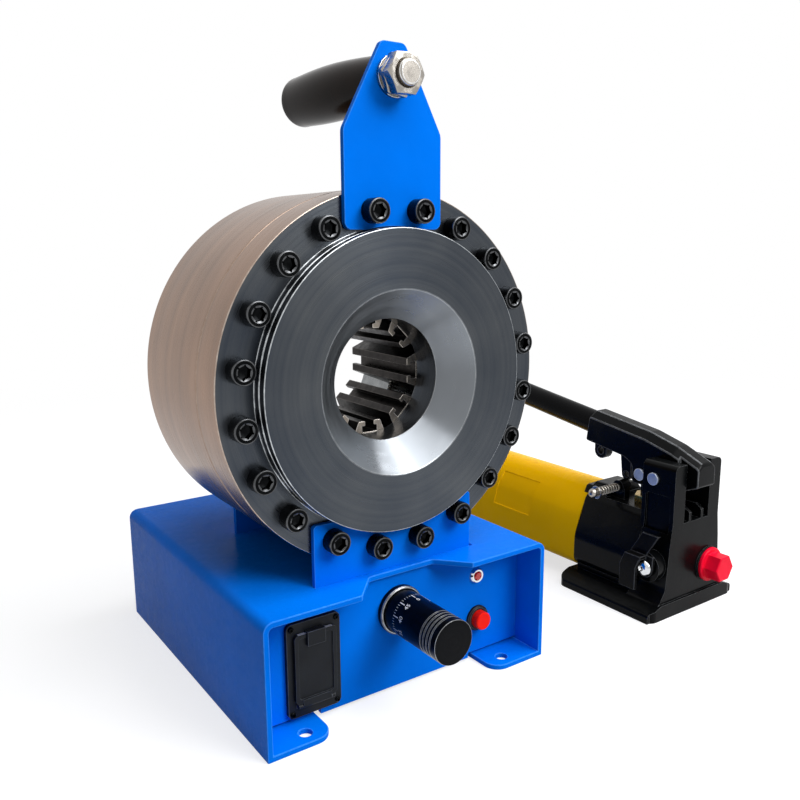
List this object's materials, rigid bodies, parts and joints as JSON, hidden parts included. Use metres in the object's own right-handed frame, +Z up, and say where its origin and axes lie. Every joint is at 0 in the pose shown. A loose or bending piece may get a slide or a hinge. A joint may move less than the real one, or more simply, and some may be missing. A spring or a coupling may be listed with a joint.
{
  "type": "hose crimping machine",
  "caption": "Bench hose crimping head with radial jaws on a sheet base, with a separate lever hand pump and oil reservoir beside it.",
  "frame": {"origin": "centre of the four foot bolt holes, at floor level", "axes": "-Y points out of the crimping bore towards the user, +X to the right towards the pump, +Z up"},
  "size_m": [0.465, 0.5412, 0.4366],
  "materials": {
    "blue_paint": "glossy blue enamel on sheet steel",
    "ground_steel": "dark face-turned steel, oiled",
    "barrel_steel": "bright turned steel",
    "machined_steel": "machined steel, oiled",
    "jaw_steel": "blackened tool steel with bright ends",
    "black_oxide_steel": "black oxide",
    "zinc_plated_steel": "bright zinc plate",
    "chrome_trim": "polished chrome",
    "black_anodised": "black anodised, satin",
    "black_plastic": "moulded black plastic",
    "gloss_black_plastic": "polished black plastic",
    "battery_wrap": "plain wrap",
    "red_plastic": "red moulded plastic",
    "red_lens": "red lens",
    "pump_black": "glossy black paint on cast iron",
    "tank_yellow": "satin yellow paint",
    "brass_gland": "turned brass",
    "seal_rubber": "black rubber"
  },
  "bodies": {
    "base": {"base_frame": "blue_paint", "front_panel": "blue_paint", "rear_panel": "blue_paint", "front_saddle_plate": "blue_paint", "rear_saddle_plate": "blue_paint", "handle_plate": "blue_paint", "front_flange": "ground_steel", "cylinder_barrel": "barrel_steel", "ring_screws": "black_oxide_steel", "plate_screws": "black_oxide_steel", "rod_seal": "seal_rubber", "inlet_coupler": "zinc_plated_steel", "dial_ring": "black_anodised", "dial_nut": "zinc_plated_steel", "battery_box": "black_plastic", "battery": "battery_wrap", "battery_box_screws": "black_oxide_steel", "lamp_bezel": "chrome_trim", "lamp_lens": "red_lens", "button_bezel": "black_plastic", "panel_nuts": "zinc_plated_steel", "handle_bolt": "zinc_plated_steel", "handle_washer": "zinc_plated_steel", "handle_nut": "zinc_plated_steel", "pump_body": "pump_black", "pump_reservoir": "tank_yellow", "reservoir_end_cap": "pump_black", "filler_plug": "black_plastic", "fulcrum_pin": "zinc_plated_steel", "plunger_gland": "brass_gland", "lock_spring": "zinc_plated_steel", "outlet_plug": "red_plastic"},
    "ram": {"ram": "machined_steel", "ram_tube": "machined_steel", "ram_seal": "seal_rubber", "travel_feeler": "zinc_plated_steel", "feeler_screw": "black_oxide_steel"},
    "dial": {"dial_drum": "black_anodised"},
    "spindle": {"dial_spindle": "machined_steel", "micro_switch": "black_plastic"},
    "lid": {"battery_lid": "black_plastic"},
    "button": {"button_cap": "red_plastic"},
    "grip": {"handle_grip": "gloss_black_plastic"},
    "lever": {"pump_handle": "pump_black", "handle_tube": "pump_black", "handle_tube_plug": "black_plastic", "link_pin": "zinc_plated_steel"},
    "plunger": {"plunger": "machined_steel"},
    "lock": {"lock_pin": "zinc_plated_steel"},
    "release": {"release_lever": "pump_black", "release_spindle": "machined_steel", "release_screw": "chrome_trim"},
    "jaw_1": {"jaw_1": "jaw_steel"},
    "jaw_2": {"jaw_2": "jaw_steel"},
    "jaw_3": {"jaw_3": "jaw_steel"},
    "jaw_4": {"jaw_4": "jaw_steel"},
    "jaw_5": {"jaw_5": "jaw_steel"},
    "jaw_6": {"jaw_6": "jaw_steel"},
    "jaw_7": {"jaw_7": "jaw_steel"},
    "jaw_8": {"jaw_8": "jaw_steel"}
  },
  "joints": [
    {"name": "ram_slide", "type": "slide", "parent": "base", "child": "ram", "axis": [0, -1, 0], "range_m": [0, 0.026], "stiffness_N_per_m": 1500},
    {"name": "jaw_1_slide", "type": "slide", "parent": "base", "child": "jaw_1", "axis": [0, 0, -1], "range_m": [0, 0.01]},
    {"name": "jaw_2_slide", "type": "slide", "parent": "base", "child": "jaw_2", "axis": [-0.7071, 0, -0.7071], "range_m": [0, 0.01]},
    {"name": "jaw_3_slide", "type": "slide", "parent": "base", "child": "jaw_3", "axis": [-1, 0, 0], "range_m": [0, 0.01]},
    {"name": "jaw_4_slide", "type": "slide", "parent": "base", "child": "jaw_4", "axis": [-0.7071, 0, 0.7071], "range_m": [0, 0.01]},
    {"name": "jaw_5_slide", "type": "slide", "parent": "base", "child": "jaw_5", "axis": [0, 0, 1], "range_m": [0, 0.01]},
    {"name": "jaw_6_slide", "type": "slide", "parent": "base", "child": "jaw_6", "axis": [0.7071, 0, 0.7071], "range_m": [0, 0.01]},
    {"name": "jaw_7_slide", "type": "slide", "parent": "base", "child": "jaw_7", "axis": [1, 0, 0], "range_m": [0, 0.01]},
    {"name": "jaw_8_slide", "type": "slide", "parent": "base", "child": "jaw_8", "axis": [0.7071, 0, -0.7071], "range_m": [0, 0.01]},
    {"name": "dial_turn", "type": "hinge", "parent": "base", "child": "dial", "pos_m": [0, -0.13305, 0.061], "axis": [0, 1, 0], "range_deg": [0, 1800]},
    {"name": "spindle_slide", "type": "slide", "parent": "base", "child": "spindle", "axis": [0, 1, 0], "range_m": [0, 0.02]},
    {"name": "battery_lid_hinge", "type": "hinge", "parent": "base", "child": "lid", "pos_m": [-0.0701, -0.10845, 0.0169], "axis": [1, 0, 0], "range_deg": [0, 90]},
    {"name": "button_press", "type": "slide", "parent": "base", "child": "button", "axis": [0, 1, 0], "range_m": [0, 0.0025], "stiffness_N_per_m": 400},
    {"name": "grip_spin", "type": "hinge", "parent": "base", "child": "grip", "pos_m": [0, 0, 0.416], "axis": [0, 1, 0], "continuous": true},
    {"name": "pump_handle_swing", "type": "hinge", "parent": "base", "child": "lever", "pos_m": [0.2805, -0.12305, 0.1165], "axis": [1, 0, 0], "range_deg": [-10, 35]},
    {"name": "plunger_slide", "type": "slide", "parent": "base", "child": "plunger", "axis": [0, 0, 1], "range_m": [-0.0048, 0.0168]},
    {"name": "lock_pin_slide", "type": "slide", "parent": "base", "child": "lock", "axis": [1, 0, 0], "range_m": [0, 0.012], "stiffness_N_per_m": 300, "deforming": ["lock_spring"]},
    {"name": "release_turn", "type": "hinge", "parent": "base", "child": "release", "pos_m": [0.2375, -0.12955, 0.043], "axis": [1, 0, 0], "range_deg": [0, 90]}
  ],
  "couplings": [
    {"joint": "jaw_1_slide", "follows": "ram_slide", "ratio": 0.38461},
    {"joint": "jaw_2_slide", "follows": "ram_slide", "ratio": 0.38461},
    {"joint": "jaw_3_slide", "follows": "ram_slide", "ratio": 0.38461},
    {"joint": "jaw_4_slide", "follows": "ram_slide", "ratio": 0.38461},
    {"joint": "jaw_5_slide", "follows": "ram_slide", "ratio": 0.38461},
    {"joint": "jaw_6_slide", "follows": "ram_slide", "ratio": 0.38461},
    {"joint": "jaw_7_slide", "follows": "ram_slide", "ratio": 0.38461},
    {"joint": "jaw_8_slide", "follows": "ram_slide", "ratio": 0.38461},
    {"joint": "spindle_slide", "follows": "dial_turn", "m_per_rad": 0.00063662},
    {"joint": "plunger_slide", "follows": "pump_handle_swing", "m_per_rad": 0.0275}
  ]
}
